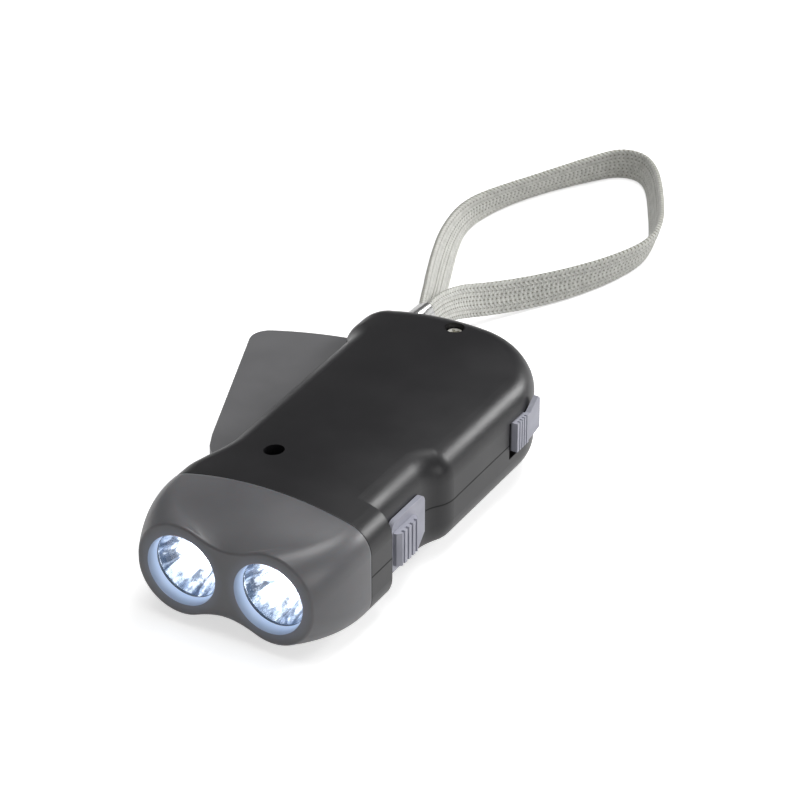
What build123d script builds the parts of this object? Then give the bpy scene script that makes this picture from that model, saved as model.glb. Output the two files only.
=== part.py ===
from build123d import *
import math
import os

# Squeeze-lever dynamo torch.  Millimetres, +X is the beam, +Y the switch side, +Z up.
# The origin is on the surface the torch lies on, under the middle of its length.

# ---- Body ----
LENGTH = 110.0  # front rim to tail
HEAD_LENGTH = 18.4  # translucent head, front rim to seam
HALF_WIDTH = 26.5  # switch side, and both sides at the seam
HALF_THICK = 14.9  # parting plane to the top of the crown
REST_CUT = 0.2  # the bottom crown is cut flat by this much
CROWN_R = 85.0  # crown of the top and bottom, across the body
EDGE_R = 7.0  # rounding of the long edges
WALL = 2.2
TAIL_R = 20.5  # plan corner behind the latch
LOBE_R = 8.0  # plan corner at the strap
GRIP_FRONT_Y = 22.3  # lever side, front of the grip
GRIP_REAR_Y = 23.5  # lever side, rear of the grip
SHOULDER_Y = 26.4  # lever side beside the head
SHOULDER_X = 30.0
GRIP_FRONT_X = 19.0
NOTCH_X = -36.8  # where the grip ends at the tail lobe
LOBE_X = -40.5
LOBE_Y = 26.3
WAIST_DEPTH = 3.4  # the switch stands in a waist of this depth
WAIST_FRONT_X = 27.4  # sharp step
WAIST_SOFT_X = 6.2  # start of the soft slope back out
WAIST_SLOPE = 4.5
WAIST_R = 7.2  # plan radii of the soft turns
SOFT_R = 8.0
STEP_R = 12.0
NOTCH_R = 5.0

# ---- Head ----
LENS_PITCH = 22.5
LOBE_RADIUS = 11.35  # rim round each lens
DIP_R = 12.9  # hollow between the two rims, top and bottom
MOUTH_R = 8.8
MOUTH_DRAFT = 0.4
MOUTH_DEPTH = 3.1
LENS_R = 9.0
LENS_THICK = 1.5
HEAD_WALL = 3.4
HEAD_SWELL = 2.2  # how late the head narrows towards the front
RIM_FLAT = 0.3  # half the height of the flat flank at the front rim
HEAD_FRONT_WALL = 5.1
RIM_ROUND = 0.7
SPIGOT_LENGTH = 3.0
SPIGOT_WALL = 1.4
FIT = 0.15  # gap of parts that plug together

# ---- Lever ----
PIVOT_X = 30.2
PIVOT_Y = -12.6
PIN_R = 1.5
PIVOT_POST_R = 3.4
RUNNING = 0.05  # radial clearance on a turning pin
HUB_R = 5.0
LEVER_BOTTOM = 9.2
LEVER_TOP = 20.2
LEVER_WEB = 2.0
LEVER_TAIL_GAP = 4.8  # from the lever's tail edge, as it swings past, to the strap's anchor pin
LEVER_INNER_DEG = 186.0  # inner edge of the webs, lever open
LEVER_TRAVEL_DEG = 18.0
LEVER_CORNER_R = 5.0
LEVER_OPEN_DEG = 191.0  # the hollow between the webs is open inward of this line
LEVER_EDGE = ((17.4, -19.5), (17.4, -27.3), (15.0, -29.4), (10.7, -31.5))
LEVER_EDGE_DEG = 201.2  # direction of the long outer edge
SLOT_GAP = 0.2  # above and below the lever in its slot
SLOT_END_GAP = 0.6
CATCH_R = 62.2  # rib that the latch holds, from the pivot
CATCH_HEIGHT = 1.8
CATCH_HALF = (0.9, 0.65)
CATCH_DEG = 0.8  # from the webs' inner edge
SPRING_R = 5.0
SPRING_WIRE = 0.9
SPRING_Z = (5.3, 8.9)
SPRING_LEGS = (12.0, 5.0)  # on the lever, on the case
POST_RELIEF_R = 3.8  # bite in the lever's tail for the rear screw post

# ---- Gear train ----
PRESSURE_DEG = 25.0
ADDENDUM = 0.9
DEDENDUM = 1.15
BACKLASH = 0.12
SECTOR_TEETH, DRIVE_PINION_TEETH, DRIVE_MODULE = 96, 12, 0.75
DRIVE_WHEEL_TEETH, STEP_PINION_TEETH, STEP_MODULE = 36, 16, 0.6
STEP_WHEEL_TEETH, ROTOR_PINION_TEETH, ROTOR_MODULE = 34, 18, 0.5
DRIVE_DEG, STEP_DEG, ROTOR_DEG = 160.0, 140.0, 200.0  # where each wheel lies from the last
SECTOR_FROM_DEG, SECTOR_TO_DEG = 156.0, 182.0
SECTOR_RIM = 7.0
SECTOR_THICK = 2.6
FACE_WIDTH = 2.4
LAYER_GAP = 0.6
AXLE_R = 1.0
AXLE_SINK = 0.6  # into the floor
GEAR_HUB_R = 2.2
ROTOR_NECK_R = 2.0
POST_R = 3.0
SLIM_POST_R = 1.9  # beside the stator
BRIDGE_Z = 20.6
BRIDGE_THICK = 1.4
BRIDGE_POSTS = ((3.0, 17.5), (-45.5, 14.5))
BRIDGE_POST_R = 2.6
BRIDGE_END_R, BRIDGE_EYE_R = 2.7, 3.4  # plate round its screws, and round the axles
BRIDGE_SCREW_R = 0.9
BRIDGE_HEAD_R, BRIDGE_HEAD_THICK = 1.7, 1.0

# ---- Dynamo ----
MAGNET_R = 9.0
MAGNET_BOTTOM = 3.9
MAGNET_THICK = 4.8
AIR_GAP = 0.6
POLE_GAP = 8.0  # between the two pole arcs
CORE_WIDTH = 2.0
CORE_THICK = 2.6
CORE_LEG_Y = -9.0
COIL_R = 2.6
COIL_BORE = 1.9

# ---- Front bay ----
CELL_R = 10.0
CELL_THICK = 3.2
CELL_X, CELL_Y = 12.0, 4.0
CELL_BOTTOM = 3.4
BOARD_Z = 7.4
BOARD_THICK = 1.2
BOARD_X, BOARD_Y = (6.4, 29.0), (-3.0, 19.5)
LED_R = 2.5
LED_BOARD_THICK = 1.4
LED_BOARD_GAP = 2.0  # from its long edges to the head's wall
REFLECTOR_WALL = 0.8
REFLECTOR_NECK_R = 3.1
DIODE_AT, DIODE_PITCH, DIODE_R, DIODE_LONG, DIODES = (9.0, 1.0), 2.6, 0.8, 3.6, 4
CAPACITOR_AT, CAPACITOR_R, CAPACITOR_HIGH = (24.0, 11.0), 2.5, 5.5
CELL_GUARD = 1.2  # wall of the cell's cradle
CELL_CLIP_HALF, CELL_CLIP_THICK = 13.0, 0.4

# ---- Screws ----
CASE_SCREWS = ((-47.1, 0.7, 28.3, 2.4), (21.6, -7.6, 19.0, 2.9))  # x, y, top of the head, post radius
SCREW_HEAD_R = 2.1
SCREW_HEAD_THICK = 1.5
SCREW_R = 1.2
SCREW_WELL_R = 2.45
SCREW_BOSS_R = 3.5  # round each well, under the roof
SCREW_TIP_Z = 5.0

# ---- Switch and latch ----
SLIDE_TRAVEL = 3.0
SWITCH_X, SWITCH_Z = (9.2, 24.1), (7.9, 21.0)
SWITCH_PLATE = 1.2
THUMB_X, THUMB_Z = (14.6, 23.6), (9.8, 18.4)
THUMB_HIGH = 1.9
THUMB_RIBS = 5
RIB_DEEP = 0.8
STEM_X, STEM_Z = (11.5, 15.5), (11.5, 15.0)
LATCH_X, LATCH_Z = (-34.3, -28.7), (12.5, 20.2)
LATCH_SLOT_Z = (10.8, 20.5)
LATCH_SLOT_GAP = 1.4  # open slot ahead of the knob
LATCH_PROUD = 1.4
LATCH_RIBS = 5
PADDLE_END_X = -39.7
PADDLE_Z = (13.6, 22.7)
PADDLE_THICK = 1.2
LATCH_ARM_Z = (22.4, 24.0)
LATCH_ARM_X = (-29.4, -27.2)
LATCH_ARM_END_Y = -3.4
LATCH_RISER_Y = (17.4, 19.8)

# ---- Strap ----
STRAP_WIDTH = 9.0
STRAP_THICK = 1.8
ANCHOR_X, ANCHOR_Y = -50.3, -20.7
ANCHOR_R = 1.2
ANCHOR_HALF = 8.9  # half the pin's length
ANCHOR_BOSS_R = 3.4
EYE_WALL, EYE_HALF, EYE_ROOM = 0.9, 3.5, 0.3
CLIP_DEG = 178.0
CLIP_ROLL = -25.0  # about its own line, top towards the lever side
CLIP_START, CLIP_END = 6.6, 21.2  # from the anchor pin
CLIP_THICK = 4.6
CLIP_HEIGHT = 10.4
CLIP_BLIND = 3.0  # crimped shut ahead of the strap's ends
CLIP_EDGE_R = 1.2
TONGUE_THICK = 2.4
STRAP_ROUTE = (
    (-71.6, -19.2, 14.9), (-77.8, -21.0, 13.2), (-85.8, -22.0, 10.8), (-93.4, -22.0, 8.2),
    (-100.6, -19.4, 6.0), (-109.5, -13.8, 4.8), (-121.0, -6.0, 4.6), (-134.0, 0.4, 4.6),
    (-147.0, 3.8, 4.6), (-158.5, 1.2, 4.6), (-172.0, -5.6, 4.6), (-185.0, -13.0, 4.6),
    (-191.4, -19.4, 4.6), (-190.8, -26.4, 4.6), (-182.0, -32.0, 4.6), (-169.0, -39.0, 4.6),
    (-154.0, -45.6, 4.6), (-141.0, -48.4, 4.6), (-127.0, -45.2, 4.6), (-113.0, -39.8, 4.8),
    (-100.0, -34.0, 6.6), (-89.0, -28.6, 10.4), (-79.0, -24.2, 13.4), (-71.6, -21.0, 14.4),
)

# ---- Worked out ----
MID_Z = HALF_THICK - REST_CUT
FRONT_X = LENGTH / 2
TAIL_X = -LENGTH / 2
SEAM_X = FRONT_X - HEAD_LENGTH
WAIST_Y = HALF_WIDTH - WAIST_DEPTH
PIVOT = (PIVOT_X, PIVOT_Y)
LEVER_R = PIVOT_X - ANCHOR_X - LEVER_TAIL_GAP
PIN_Z = (WALL + 1.2, 2 * MID_Z - WALL - 1.6)
POST_FOOT_Z = WALL / 2  # posts and bosses grow out of the middle of the floor and roof
LENS_BACK_X = FRONT_X - MOUTH_DEPTH
SLOT_Z = (LEVER_BOTTOM - SLOT_GAP, LEVER_TOP + SLOT_GAP)
OVER = 12.0  # blanks run past a cut by this much


def polar(centre, radius, degrees):
    a = math.radians(degrees)
    return (centre[0] + radius * math.cos(a), centre[1] + radius * math.sin(a))


def centre_distance(teeth_a, teeth_b, module):
    return (teeth_a + teeth_b) * module / 2


DRIVE_AT = polar(PIVOT, centre_distance(SECTOR_TEETH, DRIVE_PINION_TEETH, DRIVE_MODULE), DRIVE_DEG)
STEP_AT = polar(DRIVE_AT, centre_distance(DRIVE_WHEEL_TEETH, STEP_PINION_TEETH, STEP_MODULE), STEP_DEG)
ROTOR_AT = polar(STEP_AT, centre_distance(STEP_WHEEL_TEETH, ROTOR_PINION_TEETH, ROTOR_MODULE), ROTOR_DEG)
SECTOR_Z = LEVER_BOTTOM + LEVER_WEB
DRIVE_Z = SECTOR_Z + 0.3
WHEEL_Z = SECTOR_Z + SECTOR_THICK + LAYER_GAP
STEP_WHEEL_Z = WHEEL_Z + FACE_WIDTH + LAYER_GAP


def rod(centre, radius, low, high):
    """Upright cylinder from one height to another."""
    return Pos(centre[0], centre[1], low) * extrude(Circle(radius), high - low)


def prism(face, low, high):
    """A plan outline raised from one height to another."""
    return Pos(0, 0, low) * extrude(face, high - low, dir=(0, 0, 1))


def tube(centre, radius, bore, low, high):
    return rod(centre, radius, low, high) - rod(centre, bore, low - 1, high + 1)


def block(x, y, z):
    """Box between two values on each axis."""
    size = (x[1] - x[0], y[1] - y[0], z[1] - z[0])
    return Pos((x[0] + x[1]) / 2, (y[0] + y[1]) / 2, (z[0] + z[1]) / 2) * Box(*size)


# ---- Body form: the same function gives the outside and, inset, the cavity ----
def plan(waisted):
    """Body outline seen from above, run past the seam so that the cut there is clean."""
    front = SEAM_X + OVER
    side = [(front, HALF_WIDTH)]
    side_r = []
    if waisted:
        soft_end = WAIST_SOFT_X - WAIST_SLOPE
        side = [(front, WAIST_Y), (WAIST_SOFT_X, WAIST_Y), (soft_end, HALF_WIDTH)]
        side_r = [WAIST_R, WAIST_R]
    corners = side + [
        (TAIL_X, HALF_WIDTH), (TAIL_X, -LOBE_Y), (LOBE_X, -LOBE_Y), (NOTCH_X, -GRIP_REAR_Y),
        (GRIP_FRONT_X, -GRIP_FRONT_Y), (SHOULDER_X, -SHOULDER_Y), (front, -SHOULDER_Y),
    ]
    radii = side_r + [TAIL_R, LOBE_R, SOFT_R, NOTCH_R, STEP_R, STEP_R]
    edge = FilletPolyline(*corners, radius=radii)
    return make_face(edge.edges() + [Line(corners[-1], corners[0])])


def crowned(outline, inset):
    """Outline raised to a slab with crowned faces and rounded long edges."""
    outline = offset(outline, -inset) if inset else outline
    slab = prism(outline, MID_Z - 2 * HALF_THICK, MID_Z + 2 * HALF_THICK)
    radius = CROWN_R - inset
    rise = HALF_THICK - inset - radius
    for side in (1, -1):
        barrel = Pos(0, 0, MID_Z + side * rise) * Rot(0, 90, 0) * Cylinder(radius, 3 * LENGTH)
        slab = slab & barrel
    front = slab.bounding_box().max.X
    long_edges = [
        e for e in slab.edges()
        if e.bounding_box().max.Z - e.bounding_box().min.Z < HALF_THICK
        and e.bounding_box().min.X < front - 0.01
    ]
    return fillet(long_edges, EDGE_R - inset)


def between_x(solid, low, high):
    return solid & block((low, high), (-2 * HALF_WIDTH, 2 * HALF_WIDTH), (-LENGTH, LENGTH))


def body_form(inset, front=SEAM_X):
    """Whole body form: waisted behind the step, full width in front of it."""
    step = WAIST_FRONT_X + inset
    back = between_x(crowned(plan(True), inset), TAIL_X - OVER, step)
    nose = between_x(crowned(plan(False), inset), step, front)
    return back + nose


def above(solid, z):
    return solid & Pos(0, 0, z + LENGTH) * Box(4 * LENGTH, 4 * LENGTH, 2 * LENGTH)


def below(solid, z):
    return solid & Pos(0, 0, z - LENGTH) * Box(4 * LENGTH, 4 * LENGTH, 2 * LENGTH)


# ---- Gears ----
def involute(angle):
    return math.tan(angle) - angle


def tooth_edges(teeth, module, at_degrees):
    """One tooth's two flanks, each one arc through three points of its involute, and its tip."""
    pitch = teeth * module / 2
    base = pitch * math.cos(math.radians(PRESSURE_DEG))
    tip = pitch + ADDENDUM * module
    root = pitch - DEDENDUM * module
    start = max(root, base)
    half = math.pi / 2 / teeth - BACKLASH / 4 / pitch + involute(math.radians(PRESSURE_DEG))
    rows = []
    for radius in (start, (start + tip) / 2, tip):
        rows.append((radius, half - involute(math.acos(min(1.0, base / radius)))))
    middle = math.radians(at_degrees)
    left = [Vector(r * math.cos(middle - a), r * math.sin(middle - a)) for r, a in rows]
    right = [Vector(r * math.cos(middle + a), r * math.sin(middle + a)) for r, a in rows]
    foot = [middle - rows[0][1], middle + rows[0][1]]
    feet = [Vector(root * math.cos(a), root * math.sin(a)) for a in foot]
    edges = [ThreePointArc(*left), Line(left[2], right[2]), ThreePointArc(*right[::-1])]
    if base > root:
        edges = [Line(feet[0], left[0])] + edges + [Line(right[0], feet[1])]
    return edges, feet


def gear_face(teeth, module, phase_degrees):
    """Whole wheel outline, a tooth centred on the phase angle."""
    edges, feet = [], []
    for i in range(teeth):
        tooth, pair = tooth_edges(teeth, module, phase_degrees + 360 * i / teeth)
        edges += tooth
        feet.append(pair)
    for i in range(teeth):
        edges.append(Line(feet[i][1], feet[(i + 1) % teeth][0]))
    return make_face(edges)


def next_phase(direction, phase, teeth, next_teeth):
    """Phase that puts a gap of the next wheel on a tooth of this one."""
    turns = 0.5 - (direction - phase) * teeth / 360
    return direction + 180 - turns * 360 / next_teeth


DRIVE_PHASE = next_phase(DRIVE_DEG, DRIVE_DEG, SECTOR_TEETH, DRIVE_PINION_TEETH)
STEP_PHASE = next_phase(STEP_DEG, STEP_DEG, DRIVE_WHEEL_TEETH, STEP_PINION_TEETH)
ROTOR_PHASE = next_phase(ROTOR_DEG, ROTOR_DEG, STEP_WHEEL_TEETH, ROTOR_PINION_TEETH)


def wheel(at, teeth, module, phase, low, thick):
    return Pos(at[0], at[1], low) * extrude(gear_face(teeth, module, phase), thick, dir=(0, 0, 1))


def drive_gear():
    """Pinion turned by the lever's sector, and the first wheel, on one hub."""
    pinion = wheel(DRIVE_AT, DRIVE_PINION_TEETH, DRIVE_MODULE, DRIVE_PHASE, DRIVE_Z, WHEEL_Z - DRIVE_Z)
    big = wheel(DRIVE_AT, DRIVE_WHEEL_TEETH, STEP_MODULE, STEP_DEG, WHEEL_Z, FACE_WIDTH)
    hub = rod(DRIVE_AT, GEAR_HUB_R, WHEEL_Z, BRIDGE_Z - 0.2)
    bore = rod(DRIVE_AT, AXLE_R + RUNNING, 0, 2 * BRIDGE_Z)
    return pinion + big + hub - bore


def step_gear():
    """Second compound gear: pinion below, wheel above it."""
    pinion = wheel(STEP_AT, STEP_PINION_TEETH, STEP_MODULE, STEP_PHASE, WHEEL_Z - 0.2, STEP_WHEEL_Z - WHEEL_Z + 0.2)
    big = wheel(STEP_AT, STEP_WHEEL_TEETH, ROTOR_MODULE, ROTOR_DEG, STEP_WHEEL_Z, FACE_WIDTH - 0.2)
    bore = rod(STEP_AT, AXLE_R + RUNNING, 0, 2 * BRIDGE_Z)
    return pinion + big - bore


def rotor():
    """Rotor hub and pinion: the magnet is pressed on below."""
    low = STEP_WHEEL_Z - 0.2
    pinion = wheel(ROTOR_AT, ROTOR_PINION_TEETH, ROTOR_MODULE, ROTOR_PHASE, low, FACE_WIDTH + 0.2)
    neck = rod(ROTOR_AT, ROTOR_NECK_R, MAGNET_BOTTOM, low)
    bore = rod(ROTOR_AT, AXLE_R + RUNNING, 0, 2 * BRIDGE_Z)
    return pinion + neck - bore


def magnet():
    return tube(ROTOR_AT, MAGNET_R, ROTOR_NECK_R, MAGNET_BOTTOM, MAGNET_BOTTOM + MAGNET_THICK)


def stator_core():
    """Laminated yoke: two pole arcs round the magnet, joined by a limb through the coil."""
    low = MAGNET_BOTTOM + (MAGNET_THICK - CORE_THICK) / 2
    inner = MAGNET_R + AIR_GAP
    outer = inner + CORE_WIDTH
    ring = tube(ROTOR_AT, outer, inner, low, low + CORE_THICK)
    x, y = ROTOR_AT
    gap = POLE_GAP / 2
    core = ring - block((x - gap, x + gap), (y, y + 2 * outer), (0, LENGTH))
    core -= block((x - gap, x + gap), (y - 2 * outer, y), (0, LENGTH))
    for side in (-1, 1):
        inside, outside = x + side * (outer - CORE_WIDTH), x + side * outer
        span = (min(inside, outside), max(inside, outside))
        core += block(span, (CORE_LEG_Y - CORE_WIDTH / 2, y), (low, low + CORE_THICK))
    limb_y = (CORE_LEG_Y - CORE_WIDTH / 2, CORE_LEG_Y + CORE_WIDTH / 2)
    core += block((x - outer, x + outer), limb_y, (low, low + CORE_THICK))
    return core - rod(STEP_AT, SLIM_POST_R + 0.25, 0, LENGTH)


def coil_at():
    return (ROTOR_AT[0], CORE_LEG_Y, MAGNET_BOTTOM + MAGNET_THICK / 2)


def coil_tube(radius, length, shift=0.0):
    x, y, z = coil_at()
    return Pos(x + shift, y, z) * Rot(0, 90, 0) * Cylinder(radius, length)


def core_passage():
    x, y, z = coil_at()
    return Pos(x, y, z) * Box(LENGTH / 2, CORE_WIDTH + 0.2, CORE_THICK + 0.2)


def bobbin():
    """Plastic spool of the coil."""
    reach = 2 * (MAGNET_R + AIR_GAP) - 1.0
    spool = coil_tube(COIL_BORE, reach)
    for side in (-1, 1):
        spool += coil_tube(COIL_R, 0.8, side * (reach / 2 - 0.4))
    return spool - core_passage()


def coil():
    reach = 2 * (MAGNET_R + AIR_GAP) - 1.0
    return coil_tube(COIL_R - 0.2, reach - 1.8) - coil_tube(COIL_BORE, LENGTH / 2)


# ---- Lever ----
def lever_plan():
    """Lever outline in plan, open: hub, front nose, long outer edge and tail arc."""
    start = LEVER_EDGE[-1]
    far = polar(start, LENGTH, LEVER_EDGE_DEG)
    wedge = Polygon(
        PIVOT, (PIVOT_X - 1, PIVOT_Y - HUB_R + 1), *LEVER_EDGE, far,
        polar(PIVOT, 1.5 * LENGTH, LEVER_INNER_DEG), align=None,
    )
    web = wedge & Pos(*PIVOT) * Circle(LEVER_R)
    corner = [
        v for v in web.vertices()
        if abs(math.dist((v.X, v.Y), PIVOT) - LEVER_R) < 0.01 and v.Y < LEVER_EDGE[-1][1]
    ]
    return fillet(corner, LEVER_CORNER_R)


def sector_arm():
    """Toothed arc carried on the lower web; it turns the drive pinion."""
    pitch = SECTOR_TEETH * DRIVE_MODULE / 2
    root = pitch - DEDENDUM * DRIVE_MODULE
    ring = Circle(root + 0.1) - Circle(pitch - SECTOR_RIM)
    wedge = Polygon(
        (0, 0), polar((0, 0), LENGTH, SECTOR_FROM_DEG),
        polar((0, 0), LENGTH, SECTOR_TO_DEG + 16), align=None,
    )
    face = ring & wedge
    step = 360 / SECTOR_TEETH
    count = int((SECTOR_TO_DEG - SECTOR_FROM_DEG) / step)
    for i in range(count):
        edges = tooth_edges(SECTOR_TEETH, DRIVE_MODULE, DRIVE_DEG + i * step)[0]
        face += make_face(edges + [Line(edges[-1] @ 1, edges[0] @ 0)])
    return Pos(PIVOT_X, PIVOT_Y, SECTOR_Z - 0.2) * extrude(face, SECTOR_THICK + 0.2, dir=(0, 0, 1))


def lever():
    """Squeeze lever: a channel of two webs and an outer wall, with its hub and gear sector."""
    outline = lever_plan()
    full = prism(outline, LEVER_BOTTOM, LEVER_TOP)
    room = offset(outline, -LEVER_WEB)
    keep = Polygon(PIVOT, polar(PIVOT, 2 * LENGTH, LEVER_INNER_DEG - 20), polar(PIVOT, 2 * LENGTH, LEVER_OPEN_DEG), align=None)
    open_side = (outline & keep) + room
    body = full - prism(open_side, SECTOR_Z, LEVER_TOP - LEVER_WEB)
    body += rod(PIVOT, HUB_R, LEVER_BOTTOM, LEVER_TOP)
    body += sector_arm()
    post = CASE_SCREWS[0][:2]
    turned = math.degrees(math.atan2(post[1] - PIVOT_Y, post[0] - PIVOT_X)) + LEVER_TRAVEL_DEG
    body -= rod(polar(PIVOT, math.dist(post, PIVOT), turned), POST_RELIEF_R, 0, LENGTH)
    x, y = polar(PIVOT, CATCH_R, LEVER_INNER_DEG + CATCH_DEG)
    half_x, half_y = CATCH_HALF
    body += block((x - half_x, x + half_x), (y - half_y, y + half_y), (LEVER_TOP - 0.5, LEVER_TOP + CATCH_HEIGHT))
    return body - rod(PIVOT, PIN_R + RUNNING, 0, LENGTH)


def lever_pin():
    return rod(PIVOT, PIN_R, *PIN_Z)


def lever_spring():
    """Torsion spring round the lower pivot post; its two legs lie against the lever and the case."""
    body = tube(PIVOT, SPRING_R, SPRING_R - SPRING_WIRE, *SPRING_Z)
    wire_r = SPRING_WIRE / 2
    off_axis = SPRING_R - wire_r
    ends = ((-off_axis, SPRING_Z[1] - wire_r), (off_axis, SPRING_Z[0] + wire_r))
    for (y, z), length in zip(ends, SPRING_LEGS):
        body += Pos(PIVOT_X, PIVOT_Y + y, z) * Rot(0, -90, 0) * extrude(Circle(wire_r), length)
    return body


def axle(at, low, high):
    return rod(at, AXLE_R, low, high)


def gear_bridge():
    """Plate over the train that holds the tops of its axles."""
    first, last = BRIDGE_POSTS
    spots = [(first, BRIDGE_END_R), *((at, BRIDGE_EYE_R) for at in (DRIVE_AT, STEP_AT, ROTOR_AT)), (last, BRIDGE_END_R)]
    face = Sketch()
    for (a, ra), (b, rb) in zip(spots, spots[1:]):
        face += make_hull((Pos(*a) * Circle(ra)).edges() + (Pos(*b) * Circle(rb)).edges())
    plate = prism(face, BRIDGE_Z, BRIDGE_Z + BRIDGE_THICK)
    for at in (DRIVE_AT, STEP_AT, ROTOR_AT):
        plate -= rod(at, AXLE_R, 0, LENGTH)
    for at in BRIDGE_POSTS:
        plate -= rod(at, BRIDGE_SCREW_R + 0.1, 0, LENGTH)
    return plate


def screw(at, top, head_r, head_thick, shank_r, tip):
    """Countersunk-looking pan screw with a cross recess."""
    body = rod(at, head_r, top - head_thick, top) + rod(at, shank_r, tip, top - head_thick + 0.1)
    body = fillet(body.edges().sort_by(Axis.Z)[-1:], head_thick / 3)
    for turn in (0, 90):
        slot = Pos(at[0], at[1], top) * Rot(0, 0, 45 + turn) * Box(head_r * 1.2, head_r * 0.3, head_thick)
        body -= slot
    return body


def case_screws():
    return [screw((x, y), top, SCREW_HEAD_R, SCREW_HEAD_THICK, SCREW_R, SCREW_TIP_Z) for x, y, top, _ in CASE_SCREWS]


def bridge_screws():
    top = BRIDGE_Z + BRIDGE_THICK + BRIDGE_HEAD_THICK
    return [screw(at, top, BRIDGE_HEAD_R, BRIDGE_HEAD_THICK, BRIDGE_SCREW_R, BRIDGE_Z - 6) for at in BRIDGE_POSTS]


# ---- Housing halves ----
def lever_slot():
    """Mouth in the lever side and the tail lobe; its rear end follows the lever's tail arc."""
    front = LEVER_EDGE[0][0] + SLOT_END_GAP
    outside = -2 * HALF_WIDTH
    area = Polygon((front, -14), (TAIL_X, -14), (TAIL_X, outside), (front, outside), align=None)
    area = area & Pos(*PIVOT) * Circle(LEVER_R + SLOT_END_GAP)
    return prism(area, SLOT_Z[0], SLOT_Z[1])


def switch_slot():
    x = (STEM_X[0] - 0.3, STEM_X[1] + SLIDE_TRAVEL + 0.3)
    return block(x, (WAIST_Y - 2 * WALL, WAIST_Y + 1), (STEM_Z[0] - 0.3, STEM_Z[1] + 0.3))


def latch_slot():
    x = (LATCH_X[0] - SLIDE_TRAVEL - 0.3, LATCH_X[1] + LATCH_SLOT_GAP)
    return block(x, (HALF_WIDTH - 3 * WALL, HALF_WIDTH + 1), LATCH_SLOT_Z)


def clip_frame(distance, z=0.0):
    """Place on the strap clip's line, so far behind its pin, local X along the clip."""
    x, y = polar((ANCHOR_X, ANCHOR_Y), distance, CLIP_DEG)
    return Pos(x, y, z) * Rot(0, 0, CLIP_DEG)


def strap_slot():
    high = CLIP_HEIGHT - 0.8
    mouth = clip_frame(5.0, MID_Z) * Box(12.0, TONGUE_THICK + 0.8, high)
    room_r = ANCHOR_R + EYE_WALL + EYE_ROOM
    return mouth + rod((ANCHOR_X, ANCHOR_Y), room_r, MID_Z - high / 2, MID_Z + high / 2)


def shell():
    """The whole hollow case before it is parted, with its mouths cut."""
    case = body_form(0) - body_form(WALL, SEAM_X + OVER)
    case = above(case, 0)
    case += rod((ANCHOR_X, ANCHOR_Y), ANCHOR_BOSS_R, 1.0, 2 * MID_Z - 1.0) & body_form(WALL / 2)
    for cut in (lever_slot(), switch_slot(), latch_slot(), strap_slot()):
        case -= cut
    hole_half = ANCHOR_HALF + 0.1
    return case - rod((ANCHOR_X, ANCHOR_Y), ANCHOR_R, MID_Z - hole_half, MID_Z + hole_half)


def lower_housing(case):
    part = below(case, MID_Z)
    foot = POST_FOOT_Z
    posts = rod(PIVOT, PIVOT_POST_R, foot, LEVER_BOTTOM - SLOT_GAP)
    posts += rod(DRIVE_AT, POST_R, foot, DRIVE_Z - 0.2)
    posts += rod(STEP_AT, SLIM_POST_R, foot, WHEEL_Z - 0.4)
    posts += rod(STEP_AT, POST_R, SLOT_Z[0], WHEEL_Z - 0.4)
    posts += rod(ROTOR_AT, POST_R, foot, MAGNET_BOTTOM - 0.2)
    for at in BRIDGE_POSTS:
        posts += rod(at, BRIDGE_POST_R, foot, BRIDGE_Z)
    for x, y, _, post_r in CASE_SCREWS:
        posts += rod((x, y), post_r, foot, MID_Z - 0.1)
    cradle = rod((CELL_X, CELL_Y), CELL_R + CELL_GUARD, foot, CELL_BOTTOM - 0.1)
    cradle += tube((CELL_X, CELL_Y), CELL_R + CELL_GUARD, CELL_R + FIT, foot, CELL_BOTTOM + 1.4)
    part += (posts + cradle) & body_form(WALL / 2)
    part -= rod(PIVOT, PIN_R, PIN_Z[0], LENGTH)
    for at in (DRIVE_AT, STEP_AT, ROTOR_AT):
        part -= rod(at, AXLE_R, WALL - AXLE_SINK, LENGTH)
    for at in BRIDGE_POSTS:
        part -= rod(at, BRIDGE_SCREW_R, BRIDGE_Z - 7, LENGTH)
    for x, y, _, _ in CASE_SCREWS:
        part -= rod((x, y), SCREW_R, SCREW_TIP_Z - 1, LENGTH)
    return part


def upper_housing(case):
    part = above(case, MID_Z)
    top = 2 * MID_Z + 2
    posts = rod(PIVOT, PIVOT_POST_R, LEVER_TOP + SLOT_GAP, top)
    for x, y, _, post_r in CASE_SCREWS:
        posts += rod((x, y), SCREW_BOSS_R, LEVER_TOP + SLOT_GAP, top)
        posts += rod((x, y), post_r, MID_Z, top)
    part += posts & body_form(WALL / 2)
    part -= rod(PIVOT, PIN_R, 0, PIN_Z[1])
    for x, y, head, _ in CASE_SCREWS:
        part -= rod((x, y), SCREW_WELL_R, head - SCREW_HEAD_THICK, LENGTH)
        part -= rod((x, y), SCREW_R + 0.1, 0, LENGTH)
    return part


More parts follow.
